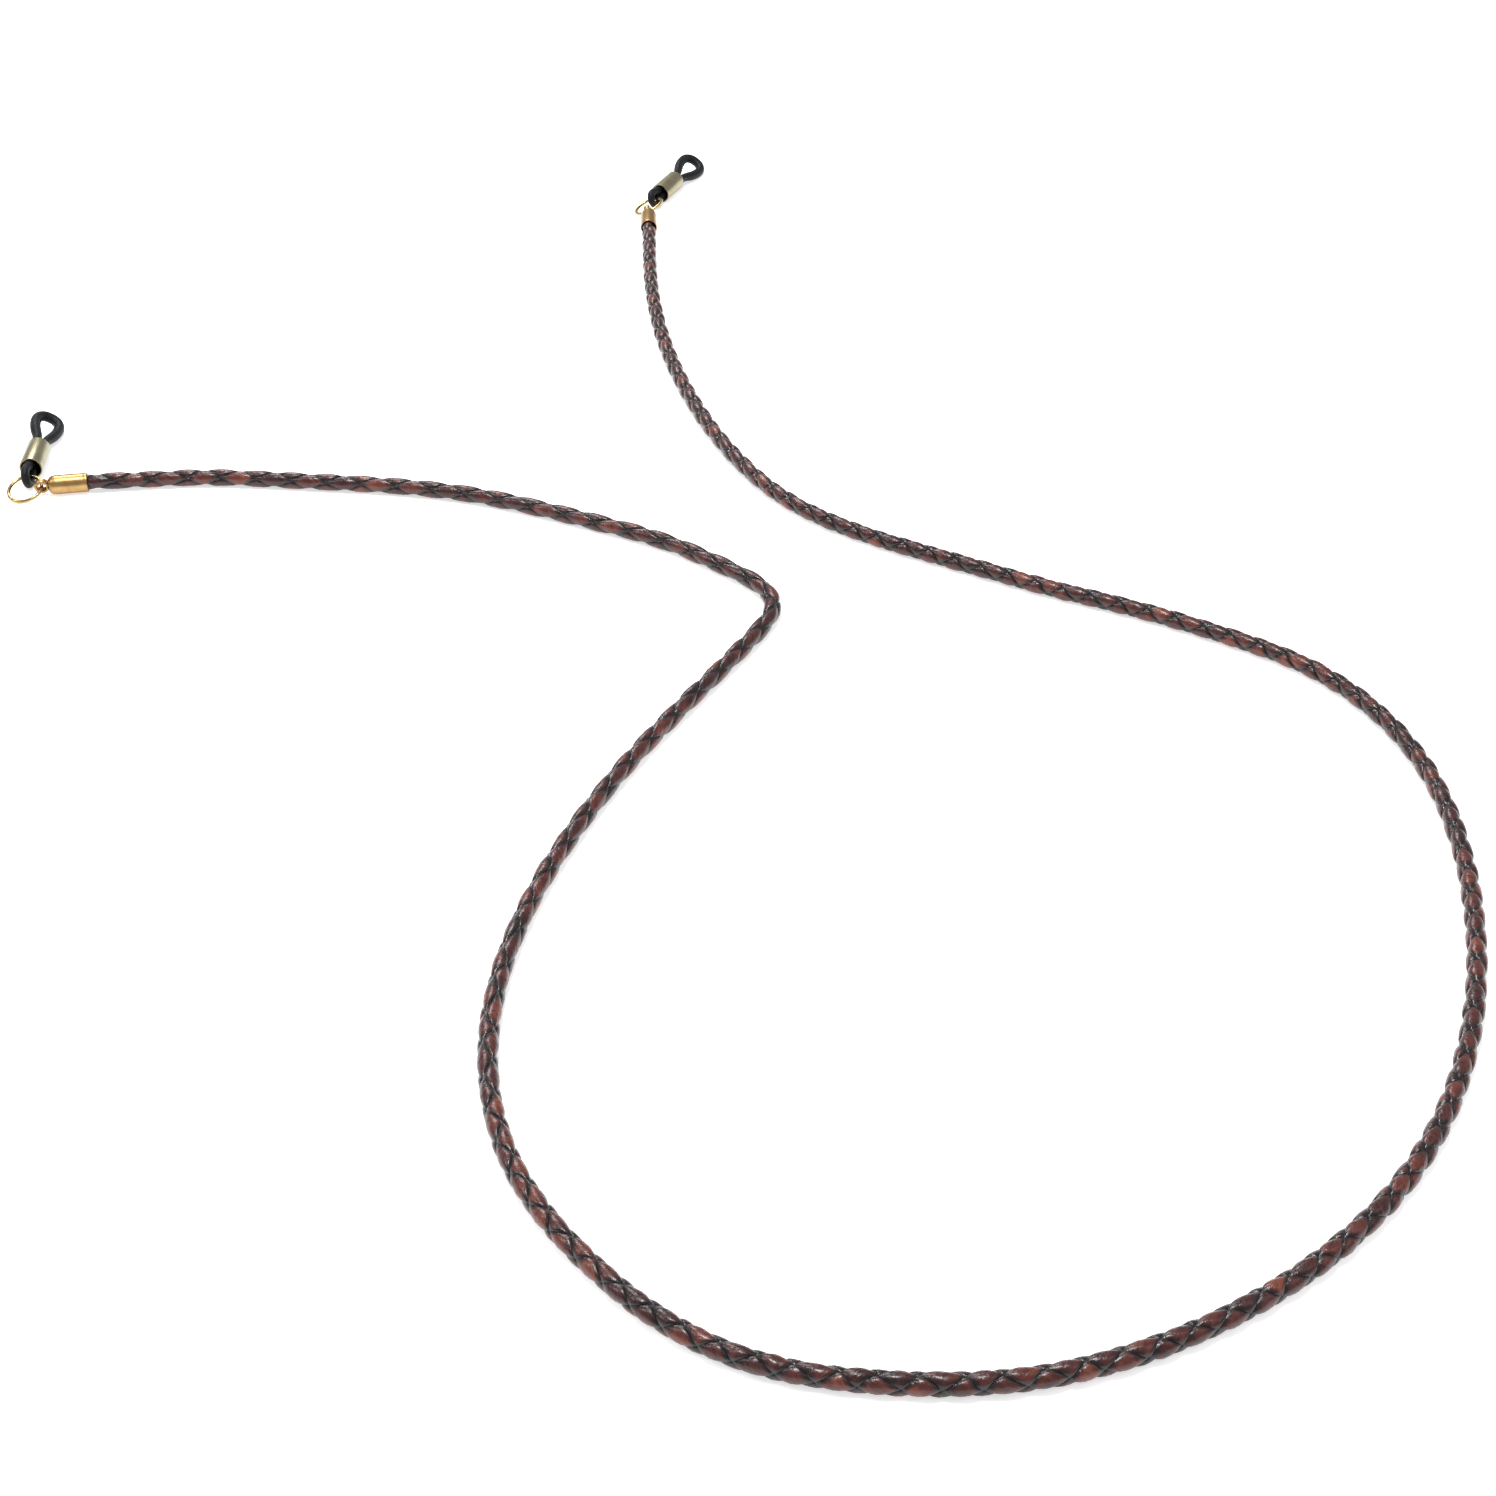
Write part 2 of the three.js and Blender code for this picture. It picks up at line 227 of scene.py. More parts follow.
def lathe(profile, segments, closed):
    """Rings about local +Y of a (radius, y) profile."""
    rings = []
    for r, y in profile:
        rings.append([np.array([r * math.cos(a), y, -r * math.sin(a)])
                      for a in 2 * math.pi * np.arange(segments) / segments])
    return rings_to_mesh(rings, closed)


def basis(x, y, origin):
    """Local X and Y along x and y, at origin: a function that moves local points there."""
    z = np.cross(x, y)
    m = np.stack([x, y, z], axis=1)
    return lambda pts: np.asarray(pts, float) @ m.T + origin


def fillet(profile, radii, steps=5):
    """Rounds the corners of a (radius, y) profile; radii holds one number a corner, 0 for a sharp one."""
    out = []
    n = len(profile)
    for i, p in enumerate(profile):
        p = np.array(p, float)
        r = radii[i]
        if r <= 0 or i in (0, n - 1):
            out.append(tuple(p))
            continue
        a, b = np.array(profile[i - 1], float), np.array(profile[i + 1], float)
        va, vb = unit(a - p), unit(b - p)
        r = min(r, 0.49 * np.linalg.norm(a - p), 0.49 * np.linalg.norm(b - p))
        for k in range(steps + 1):
            s = k / steps
            out.append(tuple((1 - s) ** 2 * (p + r * va) + 2 * s * (1 - s) * p + s**2 * (p + r * vb)))
    return out


def spline(points, step):
    """A natural cubic spline through points, resampled every step along its length."""
    p = np.asarray(points, float)
    t = np.r_[0, np.cumsum(np.linalg.norm(np.diff(p, axis=0), axis=1))]
    n = len(p)
    h = np.diff(t)
    a = np.zeros((n, n))
    rhs = np.zeros((n, 3))
    a[0, 0] = a[-1, -1] = 1
    for i in range(1, n - 1):
        a[i, i - 1], a[i, i], a[i, i + 1] = h[i - 1], 2 * (h[i - 1] + h[i]), h[i]
        rhs[i] = 6 * ((p[i + 1] - p[i]) / h[i] - (p[i] - p[i - 1]) / h[i - 1])
    m = np.linalg.solve(a, rhs)

    def at(x):
        i = np.clip(np.searchsorted(t, x, side="right") - 1, 0, n - 2)
        hi = h[i][:, None]
        u, w = (t[i + 1] - x)[:, None], (x - t[i])[:, None]
        return (m[i] * u**3 + m[i + 1] * w**3) / (6 * hi) + (p[i] / hi - m[i] * hi / 6) * u + (
            p[i + 1] / hi - m[i + 1] * hi / 6) * w

    dense = at(np.linspace(0, t[-1], 40 * n))
    s = np.r_[0, np.cumsum(np.linalg.norm(np.diff(dense, axis=0), axis=1))]
    want = np.linspace(0, s[-1], max(2, int(round(s[-1] / step)) + 1))
    return np.stack([np.interp(want, s, dense[:, k]) for k in range(3)], axis=1), want


# ------------------------------------------------------------------ braided cord
L_, R_ = PLACED["left"], PLACED["right"]
line = [L_["mouth"] + 4.6 * L_["d"], L_["mouth"] + 2.2 * L_["d"], L_["mouth"] - 0.3 * L_["d"]]
line += [np.array(p) for p in ROUTE[1:-1]]
line += [R_["mouth"] - 0.3 * R_["d"], R_["mouth"] + 2.2 * R_["d"], R_["mouth"] + 4.6 * R_["d"]]
STEP = 0.5
centre, S = spline(line, STEP)
S = S - 4.6  # counted from the left cap's mouth
TOTAL = S[-1] - 4.6
tang = np.gradient(centre, axis=0)
tang /= np.linalg.norm(tang, axis=1)[:, None]
e1 = np.cross(tang, Z)
e1 /= np.linalg.norm(e1, axis=1)[:, None]
e2 = np.cross(e1, tang)

# The braid is built on its own lattice: one family of lines follows the two right-hand strands, the other the two
# left-hand ones, so that every lozenge's edge is a line of the mesh.
SPACING_S = [-10, 120, 160, 235, 268, 305, 410, 760]
SPACING = [6.4, 6.6, 7.1, 6.9, 5.8, 4.85, 4.95, 5.05]    # from one lozenge to the next along one side, mm
ROLL_S = [-10, 100, 153, 197, 218, 238, 257, 275, 305, 330, 365, 392, 410, 425, 445, 466, 490, 560, 640, 700, 760]
ROLL_D = [118, 122, 125, 131, 129, 136, 137, 120, 104, 97, 100, 104, 76, 81, 93, 103, 112, 117, 106, 112, 118]
kern = np.exp(-0.5 * (np.arange(-40, 41) * STEP / 6.0) ** 2)
kern /= kern.sum()
soft = lambda y: np.convolve(np.pad(y, 40, mode="edge"), kern, mode="valid")
lead = 2 * soft(np.interp(S, SPACING_S, SPACING))
roll = np.radians(soft(np.interp(S, ROLL_S, ROLL_D)))
psi = np.r_[0, np.cumsum(2 * math.pi / lead[:-1] * np.diff(S))]
N = 10
CELL = np.array([-1, -0.93, -0.79, -0.57, -0.29, 0, 0.29, 0.57, 0.79, 0.93])
GROOVE = 0.34


def lattice(i):
    return math.pi * (i // N + (CELL[i % N] + 1) / 2)


k0, k1 = 1, int(psi[-1] * 2 * N / math.pi) - 2
I = np.tile(np.arange(2 * N), k1 - k0 + 1)
K = np.repeat(np.arange(k0, k1 + 1), 2 * N)
J = I + K
P, Q = lattice(I), lattice(J)
theta, turn = (P + Q) / 2, np.clip((Q - P) / 2, 0, psi[-1])
s_v = np.interp(turn, psi, S)
# the over-strand of each cell, and where each point lies across and along it
ci, cj = I // N, J // N
a_over = (ci + cj + 1) % 2 == 0
tp, tq = CELL[I % N], CELL[J % N]
A = np.where(a_over, tp, tq)
B = np.where(a_over, tq, tp)


def cell_random(i, j, seed):
    """One number from -1 to 1 for each lozenge, the same wherever it is asked for."""
    k = (j - i).astype(np.int64)
    m = np.mod(i, 2).astype(np.int64)
    h = np.sin((k * 2 + m) * 12.9898 + seed * 78.233) * 43758.5453
    return 2 * (h - np.floor(h)) - 1


def ripple(th, s, seed, length):
    """A smooth number from about -1 to 1 over the cord's surface."""
    r = np.random.RandomState(seed)
    out = np.zeros_like(s)
    for k in (0, 1, 1, 2, 2, 3):
        out += np.sin(k * th * (1 if r.rand() < 0.5 else -1) + s / (length * r.uniform(0.6, 1.6)) * 2 * math.pi + r.uniform(0, 6.28))
    return out / 2.6


side = 1 - (1 - np.abs(A) ** 3.4) ** 0.5
dive = np.clip((np.abs(B) - 0.25) / 0.75, 0, 1) ** 1.9
drop = 1 - (1 - side) * (1 - dive)
up = (1 - drop)
radius = 1.53 - GROOVE * drop - 0.11 * np.abs(A * B) ** 5
radius += up * (0.030 * cell_random(ci, cj, 1) + 0.060 * cell_random(ci, cj, 2) * A + 0.045 * cell_random(ci, cj, 3) * B)
radius += up * 0.022 * ripple(theta * 3, s_v, 11, 3.1)
# the strip is flatter than the cord it lies on: it bulges a little along its middle
radius -= up * 0.045 * A * A
end_in = np.clip(np.minimum(s_v + 0.5, TOTAL - s_v + 0.5) / 2.0, 0.0, 1.0)
end_in = end_in * end_in * (3 - 2 * end_in)
radius *= 0.925 + 0.075 * end_in
theta = theta + 0.07 * ripple(theta, s_v, 5, 19.0) * end_in
s_w = s_v + 0.22 * ripple(theta, s_v, 6, 13.0) * end_in


def on_line(arr, s):
    return np.stack([np.interp(s, S, arr[:, k]) for k in range(3)], axis=1)


ang = theta + np.interp(s_v, S, roll)
c_, x_, y_ = on_line(centre, s_w), on_line(e1, s_w), on_line(e2, s_w)
xyz = c_ + radius[:, None] * (np.cos(ang)[:, None] * x_ + np.sin(ang)[:, None] * y_)


xyz[:, 2] = np.maximum(xyz[:, 2], 0.0)  # where it lies, the leather is pressed flat


def vid(i, k):
    return (k - k0) * 2 * N + np.mod(i, 2 * N)


qi = np.tile(np.arange(2 * N), k1 - k0 - 1)
qk = np.repeat(np.arange(k0 + 1, k1), 2 * N)
quads = np.stack([vid(qi, qk), vid(qi + 1, qk - 1), vid(qi + 1, qk), vid(qi, qk + 1)], axis=1)
corner_ij = [(qi, qi + qk), (qi + 1, qi + qk), (qi + 1, qi + qk + 1), (qi, qi + qk + 1)]
fci, fcj = qi // N, (qi + qk) // N           # the cell a face belongs to
face_a = (fci + fcj + 1) % 2 == 0


def local(i, cell):
    """-1 to 1 inside the face's own cell, with its far edge at +1."""
    return np.where(i // N == cell, CELL[i % N], 1.0)


c_across = np.zeros((len(quads), 4))
c_along = np.zeros((len(quads), 4))
c_run = np.zeros((len(quads), 4))
for c, (i, j) in enumerate(corner_ij):
    lp, lq = local(i, fci), local(j, fcj)
    c_across[:, c] = np.where(face_a, lp, lq)
    c_along[:, c] = np.where(face_a, lq, lp)
    c_run[:, c] = np.where(face_a, lattice(j), lattice(i)) / math.pi
tone = 0.5 + 0.5 * cell_random(fci, fcj, 4)
# both ends are closed by a fan; they lie inside the caps
nv = len(xyz)
ends_xyz = np.array([centre[0], centre[-1]])
tris = []
for i in range(2 * N):
    tris.append((nv, int(vid(i, k0 + 1)), int(vid(i + 1, k0))))
    tris.append((nv, int(vid(i + 1, k0)), int(vid(i + 1, k0 + 1))))
    tris.append((nv + 1, int(vid(i, k1)), int(vid(i, k1 - 1))))
    tris.append((nv + 1, int(vid(i + 1, k1 - 1)), int(vid(i, k1))))
me = bpy.data.meshes.new("braided_leather_cord")
me.from_pydata([tuple(v) for v in (np.vstack([xyz, ends_xyz]) * MM).tolist()], [], quads.tolist() + tris)
# faces outwards
n0 = me.polygons[len(quads) // 2]
if (Vector(n0.normal)).dot(n0.center - Vector(centre[int(np.argmin(np.linalg.norm(centre * MM - np.array(n0.center), axis=1)))] * MM)) < 0:
    me.flip_normals()
    c_across, c_along, c_run = (v[:, [0, 3, 2, 1]] for v in (c_across, c_along, c_run))
    flipped = True
else:
    flipped = False
pad = np.zeros(len(tris) * 3)


def corner_attribute(name, values, fill):
    at_ = me.attributes.new(name, "FLOAT", "CORNER")
    at_.data.foreach_set("value", np.r_[values.ravel(), pad + fill].astype(np.float32))


# corner values follow the loops as the mesh holds them
loops_v = np.zeros(len(me.loops), np.int32)
me.loops.foreach_get("vertex_index", loops_v)
q_loops = loops_v[: 4 * len(quads)].reshape(-1, 4)


def in_loop_order(values_unflipped):
    out = np.zeros_like(values_unflipped)
    for c in range(4):
        for d_ in range(4):
            hit = q_loops[:, c] == quads[:, d_]
            out[hit, c] = values_unflipped[hit, d_]
    return out


if flipped:  # back to the quads' own order before they are matched to the loops
    c_across, c_along, c_run = (v[:, [0, 3, 2, 1]] for v in (c_across, c_along, c_run))
corner_attribute("across", in_loop_order(c_across), 1.0)
corner_attribute("along", in_loop_order(c_along), 1.0)
corner_attribute("run", in_loop_order(c_run), 0.0)
ft = me.attributes.new("tone", "FLOAT", "FACE")
ft.data.foreach_set("value", np.r_[tone, np.full(len(tris), 0.2)].astype(np.float32))
me.polygons.foreach_set("use_smooth", [True] * len(me.polygons))
# the lozenges' edges are creases
ev = np.zeros(2 * len(me.edges), np.int32)
me.edges.foreach_get("vertices", ev)
ev = ev.reshape(-1, 2)
on_p = np.r_[I % N == 0, False, False]
on_q = np.r_[J % N == 0, False, False]
same_i = np.r_[I, -1, -2][ev[:, 0]] == np.r_[I, -1, -2][ev[:, 1]]
crease = np.where(same_i, on_p[ev[:, 0]] & on_p[ev[:, 1]], on_q[ev[:, 0]] & on_q[ev[:, 1]])
sharp = me.attributes.get("sharp_edge") or me.attributes.new("sharp_edge", "BOOLEAN", "EDGE")
sharp.data.foreach_set("value", crease.astype(bool))
me.update()
cord = bpy.data.objects.new("braided_leather_cord", me)
scene.collection.objects.link(cord)

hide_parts("braided_cord")
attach(cord, "strap")

# ------------------------------------------------------------------ end caps


def joined(name, parts):
    """One closed solid of several, by an exact union."""
    first = parts[0]
    for other in parts[1:]:
        m = first.modifiers.new("join", "BOOLEAN")
        m.operation, m.solver, m.object = "UNION", "EXACT", other
    deps = bpy.context.evaluated_depsgraph_get()
    me_ = bpy.data.meshes.new_from_object(first.evaluated_get(deps))
    me_.name = name
    for p in parts:
        old = p.data
        bpy.data.objects.remove(p)
        bpy.data.meshes.remove(old)
    ob = bpy.data.objects.new(name, me_)
    scene.collection.objects.link(ob)
    return ob


def end_cap(side):
    p = PLACED[side]
    put = basis(p["hole"], p["d"], p["mouth"])
    outer = fillet(
        [(1.44, 5.4), (1.46, 0.28), (1.60, 0.0), (1.76, 0.0), (1.75, 0.42), (1.71, 0.55), (1.75, 0.70), (1.75, 5.75), (1.66, 6.35),
         (1.35, 6.80), (0.92, 7.05), (0.62, 7.16), (0.55, 7.45)],
        [0, 0.10, 0.10, 0.10, 0.05, 0.05, 0.05, 0.5, 0.4, 0.3, 0.25, 0.15, 0],
    )
    profile = [(0.0001, 5.4)] + outer + [(0.0001, 7.5)]
    v, f = lathe(profile, 56, False)
    cup = new_object("cup", put(v) * MM, f)
    # a cast eyelet: a round-sided ring with a slightly flattened rim
    rings = []
    mid_r, wide, thick = 1.115, 0.335, 0.62
    for i in range(48):
        a = 2 * math.pi * i / 48
        ring = []
        for j in range(16):
            b = 2 * math.pi * j / 16
            c, s = math.cos(b), math.sin(b)
            rr = mid_r + wide * math.copysign(abs(c) ** 0.85, c)
            hh = thick * math.copysign(abs(s) ** 0.8, s)
            ring.append(np.array([hh, CAP_REACH + rr * math.cos(a), rr * math.sin(a)]))
        rings.append(ring)
    v, f = rings_to_mesh(rings, True)
    eyelet = new_object("eyelet", put(v) * MM, f)
    ob = joined(f"brass_end_cap_{side}", [cup, eyelet])
    smooth_by_angle(ob.data, 42)
    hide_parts(f"end_cap_{side}")
    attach(ob, "strap")
    return ob


# ------------------------------------------------------------------ jump rings: wire with a butt split


def jump_ring(side):
    p = PLACED[side]
    x = unit(p["eyelet"] - p["centre"])
    y = unit(np.cross(p["normal"], x))
    toward = p["eye"] - p["centre"]
    a_eye = math.atan2(toward.dot(y), toward.dot(x)) % (2 * math.pi)
    a_split = (a_eye + 2 * math.pi) / 2 if a_eye < math.pi else a_eye / 2  # on the ring's free side
    gap = 0.035 / RING_R
    n = 120
    angles = np.linspace(a_split + gap, a_split + 2 * math.pi - gap, n)
    pts = [p["centre"] + RING_R * (math.cos(a) * x + math.sin(a) * y) for a in angles]
    radii = np.full(n, RING_WIRE_R)
    radii[0] = radii[-1] = RING_WIRE_R * 0.90
    radii[1] = radii[-2] = RING_WIRE_R * 0.97
    v, f = rings_to_mesh(tube_rings(pts, radii, 16, p["normal"]), False)
    ob = new_object(f"split_jump_ring_{side}", np.asarray(v) * MM, f)
    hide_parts(f"jump_ring_{side}")
    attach(ob, f"ring_{side}")
    return ob


# ------------------------------------------------------------------ rubber temple loops: one closed strand


def loop_axes(p):
    flat_side = unit(np.cross(p["u"], Z))
    eye_side = unit(np.cross(p["u"], p["eye_normal"]))
    if eye_side.dot(flat_side) < 0:
        eye_side = -eye_side
    sign = -1 if eye_side[2] < 0 else 1
    roll_ = math.radians(LOOP_ROLL) * sign
    loop_side = math.cos(roll_) * flat_side + math.sin(roll_) * Z
    loop_normal = np.cross(loop_side, p["u"])
    twist = math.atan2(-eye_side.dot(loop_normal), eye_side.dot(loop_side))
    return loop_side, loop_normal, twist


def temple_loop(side):
    p = PLACED[side]
    loop_side, loop_normal, twist = loop_axes(p)
    # half of the strand, as (s, half width), from the small eye to the crown; its radius is set below
    half = [(-1.38, 0.0), (-1.20, 0.62), (-0.80, 1.10), (-0.15, 1.38), (0.7, 1.36), (1.55, 1.16), (2.35, 0.96), (3.2, 0.885),
            (5.0, 0.875), (8.0, 0.875), (10.6, 0.87), (12.2, 0.865), (13.3, 0.885), (14.5, 1.22), (16.0, 1.76), (17.6, 2.12),
            (19.0, 2.22), (20.1, 2.04), (20.95, 1.52), (21.42, 0.80), (21.53, 0.0)]
    loop3 = [(h, s, 0.0) for s, h in half] + [(-h, s, 0.0) for s, h in half[-2:0:-1]]
    # a smooth closed line through these, by a spline that runs past both of its ends
    k = 4
    ext = loop3[-k:] + loop3 + loop3[:k + 1]
    fine, at = spline(ext, 0.28)
    # cut the closed stretch out between the two passes of the first point
    i0 = int(np.argmin(np.linalg.norm(fine[: len(fine) // 3] - np.array(loop3[0]), axis=1)))
    i1 = len(fine) - 1 - int(np.argmin(np.linalg.norm(fine[::-1][: len(fine) // 3] - np.array(loop3[0]), axis=1)))
    fine = fine[i0:i1]
    s = fine[:, 1]
    turn_ = np.clip((s - 3.0) / 8.0, 0, 1)
    turn_ = twist * (1 - turn_ * turn_ * (3 - 2 * turn_))   # the legs turn about each other inside the sleeve
    x, z = fine[:, 0] * np.cos(turn_), -fine[:, 0] * np.sin(turn_)
    pts = p["eye"] + x[:, None] * loop_side + s[:, None] * p["u"] + z[:, None] * loop_normal
    radius = np.interp(s, [-1.4, 0.5, 2.6, 3.6, 10.4, 13.4, 15.6, 22], [0.76, 0.76, 0.80, 0.86, 0.86, 0.86, 0.98, 0.98])
    rings = tube_rings(pts, radius, 18, p["eye_normal"], closed=True)
    v, f = rings_to_mesh(rings, True)
    v = np.asarray(v)
    v[:, 2] = np.maximum(v[:, 2], 0.02)
    ob = new_object(f"rubber_temple_loop_{side}", v * MM, f)
    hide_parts(f"temple_loop_{side}")
    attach(ob, f"loop_{side}")
    return ob


def loop_sleeve(side):
    p = PLACED[side]
    loop_side, _, _ = loop_axes(p)
    put = basis(loop_side, p["u"], p["eye"] + SLEEVE_FROM * p["u"])
    r0, r1, length_ = 1.80, SLEEVE_R, SLEEVE_L
    corner = [(r0, length_), (r0, 0.0), (r1, 0.0), (r1, length_)]
    prof = []
    for (r, y), (sx, sy) in zip(corner, ((1, -1), (1, 1), (-1, 1), (-1, -1))):
        e = 0.11
        first = (r + sx * e, y) if (sx, sy) in ((1, -1), (-1, 1)) else (r, y + sy * e)
        second = (r, y + sy * e) if (sx, sy) in ((1, -1), (-1, 1)) else (r + sx * e, y)
        for q in range(5):
            t_ = q / 4
            prof.append((
                (1 - t_) ** 2 * first[0] + 2 * t_ * (1 - t_) * r + t_**2 * second[0],
                (1 - t_) ** 2 * first[1] + 2 * t_ * (1 - t_) * y + t_**2 * second[1],
            ))
    v, f = lathe(prof, 72, True)
    v = np.asarray(v)
    ob = new_object(f"brass_loop_sleeve_{side}", put(v) * MM, f)
    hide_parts(f"loop_sleeve_{side}")
    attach(ob, f"sleeve_{side}")
    return ob


caps = [end_cap(s_) for s_ in ENDS]
jumps = [jump_ring(s_) for s_ in ENDS]
loops = [temple_loop(s_) for s_ in ENDS]
sleeves = [loop_sleeve(s_) for s_ in ENDS]

# ------------------------------------------------------------------ materials


class Nodes:
    """A small helper that writes a node tree."""

    def __init__(self, name):
        self.mat = bpy.data.materials.new(name)
        self.mat.use_nodes = True
        self.t = self.mat.node_tree
        self.bsdf = self.t.nodes["Principled BSDF"]

    def add(self, kind, **sets):
        n = self.t.nodes.new(kind)
        for k, v in sets.items():
            if k.startswith("in_"):
                n.inputs[k[3:]].default_value = v
            else:
                setattr(n, k, v)
        return n

    def link(self, a, b):
        self.t.links.new(a, b)

    def attr(self, name):
        return self.add("ShaderNodeAttribute", attribute_name=name).outputs["Fac"]

    def math(self, op, a, b=None, clamp=False):
        n = self.add("ShaderNodeMath", operation=op, use_clamp=clamp)
        for i, x in enumerate((a, b)):
            if x is None:
                continue
            if isinstance(x, (int, float)):
                n.inputs[i].default_value = x
            else:
                self.link(x, n.inputs[i])
        return n.outputs[0]

    def ramp(self, fac, stops, interpolation="LINEAR"):
        n = self.add("ShaderNodeValToRGB")
        n.color_ramp.interpolation = interpolation
        while len(n.color_ramp.elements) < len(stops):
            n.color_ramp.elements.new(0.5)
        for e, (pos, col) in zip(n.color_ramp.elements, stops):
            e.position = pos
            e.color = (*col, 1.0) if len(col) == 3 else col
        self.link(fac, n.inputs["Fac"])
        return n.outputs["Color"]

    def noise(self, scale, detail=4.0, rough=0.55, vector=None, distortion=0.0):
        n = self.add("ShaderNodeTexNoise")
        n.inputs["Scale"].default_value = scale
        n.inputs["Detail"].default_value = detail
        n.inputs["Roughness"].default_value = rough
        n.inputs["Distortion"].default_value = distortion
        self.link(vector if vector is not None else self.coords(), n.inputs["Vector"])
        return n.outputs["Fac"]

    def coords(self):
        if not hasattr(self, "_c"):
            self._c = self.add("ShaderNodeTexCoord").outputs["Object"]
        return self._c

    def mix(self, fac, a, b, blend="MIX"):
        n = self.add("ShaderNodeMix", data_type="RGBA", blend_type=blend)
        for sock, x in ((n.inputs["Factor"], fac), (n.inputs["A"], a), (n.inputs["B"], b)):
            if isinstance(x, (int, float)):
                sock.default_value = x
            elif isinstance(x, tuple):
                sock.default_value = (*x, 1.0) if len(x) == 3 else x
            else:
                self.link(x, sock)
        return n.outputs["Result"]

    def remap(self, v, a, b, c, d):
        n = self.add("ShaderNodeMapRange")
        for k, x in zip(("From Min", "From Max", "To Min", "To Max"), (a, b, c, d)):
            n.inputs[k].default_value = x
        self.link(v, n.inputs["Value"])
        return n.outputs["Result"]

    def bump(self, height, strength, distance, normal=None):
        n = self.add("ShaderNodeBump")
        n.inputs["Strength"].default_value = strength
        n.inputs["Distance"].default_value = distance
        self.link(height, n.inputs["Height"])
        if normal is not None:
            self.link(normal, n.inputs["Normal"])
        return n.outputs["Normal"]

    def combine(self, x, y, z):
        n = self.add("ShaderNodeCombineXYZ")
        for i, v in enumerate((x, y, z)):
            if isinstance(v, (int, float)):
                n.inputs[i].default_value = v
            else:
                self.link(v, n.inputs[i])
        return n.outputs[0]


def leather():
    m = Nodes("antique_braided_leather")
    b = m.bsdf
    across_, along_, run, tone = (m.attr(x) for x in ("across", "along", "run", "tone"))
    ea, eb = m.math("ABSOLUTE", across_), m.math("ABSOLUTE", along_)
    lay = m.combine(m.math("MULTIPLY", across_, 1.4), m.math("MULTIPLY", run, 0.75), m.math("MULTIPLY", tone, 23.0))
    streak = m.noise(2.8, 2.6, 0.52, lay)                         # long wrinkles that follow the strand
    patch = m.noise(210.0, 3.0, 0.55)                             # the dye's patches, about 5 mm
    blotch = m.noise(1250.0, 4.0, 0.6)
    fine = m.noise(5200.0, 3.0, 0.6)
    # how far the place is from the lozenge's edges, 0 at an edge; the colour goes near-black towards these edges as
    # painted shade where the strands dip into the grooves
    inner = m.math("MULTIPLY", m.remap(ea, 1.0, 0.66, 0.0, 1.0), m.remap(eb, 1.0, 0.60, 0.0, 1.0))
    inner = m.math("ADD", inner, m.math("MULTIPLY", m.math("SUBTRACT", blotch, 0.5), 0.75), clamp=True)
    # the dye's patches and each lozenge's tone are the leather's own; the lighter raised middles and near-black edges
    # are painted shade in the grooves
    tone_and_groove_shade = m.math("MULTIPLY", inner, m.remap(patch, 0.33, 0.66, 0.42, 1.05))
    tone_and_groove_shade = m.math("MULTIPLY", tone_and_groove_shade, m.remap(tone, 0.0, 1.0, 0.56, 1.12), clamp=True)
    colour = m.ramp(tone_and_groove_shade, [(0.0, (0.0035, 0.0022, 0.0027)), (0.25, (0.0155, 0.0050, 0.0058)), (0.50, (0.047, 0.0112, 0.0100)),
                           (0.76, (0.088, 0.0198, 0.0136)), (1.0, (0.138, 0.0355, 0.0205))])
    # painted shade in the wrinkles' hollows and a little painted light on their ridges, following the wrinkle bump
    creases = m.ramp(streak, [(0.36, (0.42, 0.40, 0.42)), (0.50, (1.0, 1.0, 1.0)), (0.68, (1.15, 1.12, 1.10))])
    colour = m.mix(0.6, colour, creases, "MULTIPLY")
    m.link(colour, b.inputs["Base Color"])
    rough = m.remap(m.math("ADD", m.math("MULTIPLY", fine, 0.5), m.math("MULTIPLY", streak, 0.5)), 0.3, 0.7, 0.13, 0.42)
    m.link(rough, b.inputs["Roughness"])
    b.inputs["Specular IOR Level"].default_value = 0.36
    b.inputs["Coat Weight"].default_value = 0.10
    b.inputs["Coat Roughness"].default_value = 0.12
    n1 = m.bump(streak, 0.38, 0.00022)
    n2 = m.bump(blotch, 0.50, 0.00016, n1)
    n3 = m.bump(fine, 0.30, 0.00004, n2)
    m.link(n3, b.inputs["Normal"])
    return m.mat


def brass(name, base, deep, light, rough, spread_, scratch):
    m = Nodes(name)
    b = m.bsdf
    b.inputs["Metallic"].default_value = 1.0
    big = m.noise(420.0, 3.0, 0.5)
    small = m.noise(2600.0, 4.0, 0.6)
    colour = m.mix(m.remap(big, 0.3, 0.7, 0.0, 1.0), base, light)
    colour = m.mix(m.remap(small, 0.60, 0.78, 0.0, 0.55), colour, deep)
    m.link(colour, b.inputs["Base Color"])
    m.link(m.remap(small, 0.25, 0.75, rough - spread_, rough + spread_), b.inputs["Roughness"])
    mp = m.add("ShaderNodeMapping")
    mp.inputs["Scale"].default_value = (1.0, 1.0, 7.0)
    mp.inputs["Rotation"].default_value = (0.5, 0.7, 0.3)
    m.link(m.coords(), mp.inputs["Vector"])
    lines = m.noise(3800.0, 4.0, 0.65, mp.outputs[0])
    n1 = m.bump(lines, scratch, 0.00003)
    n2 = m.bump(big, 0.10, 0.00010, n1)
    m.link(n2, b.inputs["Normal"])
    return m.mat


